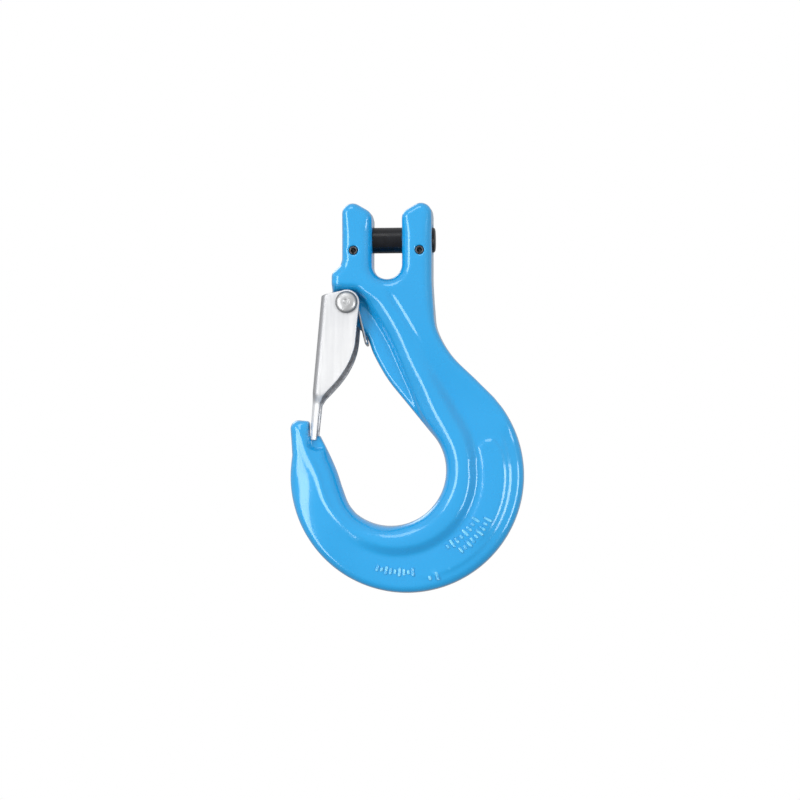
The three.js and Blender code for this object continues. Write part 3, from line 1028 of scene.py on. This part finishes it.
def steel(name, dark, light, rough, marks, **sockets):
    """Bare or oxidised steel: soft clouding, tool marks, and paler corners."""
    look = Look(name, **sockets)
    ring = marks(look)
    cloud = look.noise(170, detail=4, roughness=0.6)
    tone = look.add(look.spread(cloud, 0.3, 0.7, 0, 0.65), look.spread(ring, 0.3, 0.7), 0.35)
    edge = look.spread(look.node("NewGeometry").outputs["Pointiness"], 0.52, 0.62, 0, 0.5)
    paling = tuple(min(1, 1.5 * c) for c in light)
    colour = look.blend(edge, look.blend(tone, dark, light), paling)
    roughness = look.spread(cloud, 0.3, 0.7, rough - 0.05, rough + 0.08)
    return look, colour, roughness, look.bump(ring, 0.000010)


def marks_along_x(look):
    """Turning marks in rings round a bar that lies along X."""
    return look.noise(1500, stretch=(1, 0.02, 0.02), detail=3)


def from_pivot(look):
    """Distance from the latch's pivot axis, in metres."""
    flat = look.node("VectorMath", {0: look.place, 1: (1, 0, 1)}, operation="MULTIPLY").outputs[0]
    centre = (PIVOT[0] * MM, 0, PIVOT[1] * MM)
    return look.node("VectorMath", {0: flat, 1: centre}, operation="DISTANCE").outputs[1]


def marks_round_pivot(look):
    """Fine rings about the latch's pivot axis."""
    sockets = {"W": from_pivot(look), "Scale": 2600.0, "Detail": 2.0}
    return look.node("TexNoise", sockets, noise_dimensions="1D").outputs[0]


def black_oxide():
    """The load pin's thin black finish."""
    dark, light = rgb(0.002, 0.002, 0.004), rgb(0.007, 0.008, 0.012)
    look, *finish = steel("black_oxide_steel", dark, light, 0.28, marks_along_x, Specular_IOR_Level=0.35)
    return look.finish(*finish)


def retainer_steel():
    """Dark spring steel, for the slit spring pins."""
    dark, light = rgb(0.05, 0.05, 0.055), rgb(0.16, 0.16, 0.17)
    look, *finish = steel("spring_pin_steel", dark, light, 0.40, marks_along_x, Metallic=0.8)
    return look.finish(*finish)


def rivet_steel():
    """Plain steel, with painted shade darkening the rim of each head."""
    dark, light = rgb(0.45, 0.455, 0.46), rgb(0.69, 0.70, 0.71)
    look, colour, *finish = steel("rivet_steel", dark, light, 0.40, marks_round_pivot, Metallic=0.6)
    # painted shade: a dark ring over the rim of each domed head
    rim = look.spread(from_pivot(look), 4.1 * MM, 4.9 * MM)
    return look.finish(look.blend(rim, colour, rgb(0.20, 0.205, 0.21)), *finish)


def spring_wire():
    """Drawn wire, brighter than the pins."""
    dark, light = rgb(0.35, 0.35, 0.36), rgb(0.62, 0.62, 0.63)
    look, *finish = steel("spring_wire", dark, light, 0.28, marks_round_pivot, Metallic=0.95)
    return look.finish(*finish)


def floor_finish():
    """Plain matt white that glows a little, so that the floor is as pale as the surround."""
    look = Look("pale_floor", Emission_Color=rgb(1, 1, 1), Emission_Strength=0.6)
    colour = look.blend(look.noise(3), rgb(0.90, 0.90, 0.90), rgb(0.93, 0.93, 0.93))
    roughness = look.spread(look.noise(9), 0, 1, 0.7, 0.8)
    return look.finish(colour, roughness, look.bump(look.noise(200), 0.0001))


# ---------------------------------------------------------------- studio

CAMERA_REACH = 1.4
CAMERA_LENS = 130
CAMERA_AZIMUTH = 4
CAMERA_ELEVATION = -5
CAMERA_TARGET = (5.8, 0, -78.0)
SURROUND_LEAN = (0, -0.35, 0.94)
SURROUND_LOW = 0.30
SURROUND_HIGH = 0.75
FLOOR_HALF = 6.0
FLOOR_DROP = 0.75
# Each softbox's place, width and height in metres, and its power in watts
SOFTBOXES = {
    "key_softbox": ((-0.25, -0.70, 0.75), 0.50, 0.40, 1.8),
    "left_softbox": ((-0.66, -0.62, -0.18), 0.32, 1.15, 5.6),
    "right_softbox": ((0.70, -0.52, -0.22), 0.26, 0.5, 2.6),
    "back_softbox": ((-0.55, 0.65, 0.60), 0.5, 0.5, 1.6),
}


def aimed(obj, place, target):
    """Put a camera or light in the scene, pointing at a target."""
    obj.location = place
    obj.rotation_euler = (Vector(target) - Vector(place)).to_track_quat("-Z", "Y").to_euler()
    bpy.context.scene.collection.objects.link(obj)


def make_camera():
    """A long lens a little right of square on, looking slightly up."""
    azimuth, elevation = math.radians(CAMERA_AZIMUTH), math.radians(CAMERA_ELEVATION)
    level = Vector((math.sin(azimuth), -math.cos(azimuth), 0))
    back = level * math.cos(elevation) + Vector((0, 0, math.sin(elevation)))
    target = Vector(CAMERA_TARGET) * MM
    data = bpy.data.cameras.new("camera")
    data.lens = CAMERA_LENS
    data.clip_start = 0.01
    camera = bpy.data.objects.new("camera", data)
    aimed(camera, target + back * CAMERA_REACH, target)
    bpy.context.scene.camera = camera


def make_light(name, place, target, width, height, power):
    data = bpy.data.lights.new(name, "AREA")
    data.shape = "RECTANGLE"
    data.size = width
    data.size_y = height
    data.energy = power
    aimed(bpy.data.objects.new(name, data), place, target)


def make_surround():
    """A surround that is bright above and in front, dim below, and plain white to the camera."""
    world = bpy.data.worlds.new("white_surround")
    world.use_nodes = True
    nodes, links = world.node_tree.nodes, world.node_tree.links
    lean = nodes.new("ShaderNodeVectorMath")
    lean.operation = "DOT_PRODUCT"
    lean.inputs[1].default_value = SURROUND_LEAN
    links.new(nodes.new("ShaderNodeTexCoord").outputs["Generated"], lean.inputs[0])
    glow = nodes.new("ShaderNodeMapRange")
    glow.interpolation_type = "SMOOTHSTEP"
    limits = {"From Min": -1, "From Max": 1, "To Min": SURROUND_LOW, "To Max": SURROUND_HIGH}
    for socket, value in limits.items():
        glow.inputs[socket].default_value = value
    links.new(lean.outputs["Value"], glow.inputs["Value"])
    lit, seen = nodes["Background"], nodes.new("ShaderNodeBackground")
    lit.inputs["Color"].default_value = rgb(1, 1, 1)
    links.new(glow.outputs[0], lit.inputs["Strength"])
    seen.inputs["Color"].default_value = rgb(1, 1, 1)
    pick = nodes.new("ShaderNodeMixShader")
    links.new(nodes.new("ShaderNodeLightPath").outputs["Is Camera Ray"], pick.inputs[0])
    links.new(lit.outputs[0], pick.inputs[1])
    links.new(seen.outputs[0], pick.inputs[2])
    links.new(pick.outputs[0], nodes["World Output"].inputs["Surface"])
    bpy.context.scene.world = world


def make_floor():
    """A wide pale floor that the camera sees, but that neither lights the hook nor is mirrored in it."""
    corners = [(-1, -1, 0), (1, -1, 0), (1, 1, 0), (-1, 1, 0)]
    floor = new_object("floor", np.array(corners) * FLOOR_HALF / MM, [(0, 1, 2, 3)])
    floor.location.z = CAD_LOW.z - FLOOR_DROP
    floor.data.materials.append(floor_finish())
    floor.visible_diffuse = False
    floor.visible_glossy = False


def make_studio():
    middle = (CAD_LOW + CAD_HIGH) / 2
    for name, (place, width, height, power) in SOFTBOXES.items():
        make_light(name, place, middle, width, height, power)
    make_surround()
    make_floor()
    bpy.context.scene.view_settings.view_transform = "Standard"


# ---------------------------------------------------------------- assembly

make_camera()
make_studio()
make_forging(powder_coat("blue_powder_coat", paling=0))
# the tally marks' coat carries painted glints: pale patches standing in for highlights
make_ticks(powder_coat("painted_glint_powder_coat", paling=0.75))
make_latch(zinc_plate(), zinc_cut_edge())
make_pins_and_rivet(black_oxide(), retainer_steel(), rivet_steel())
make_spring(spring_wire())
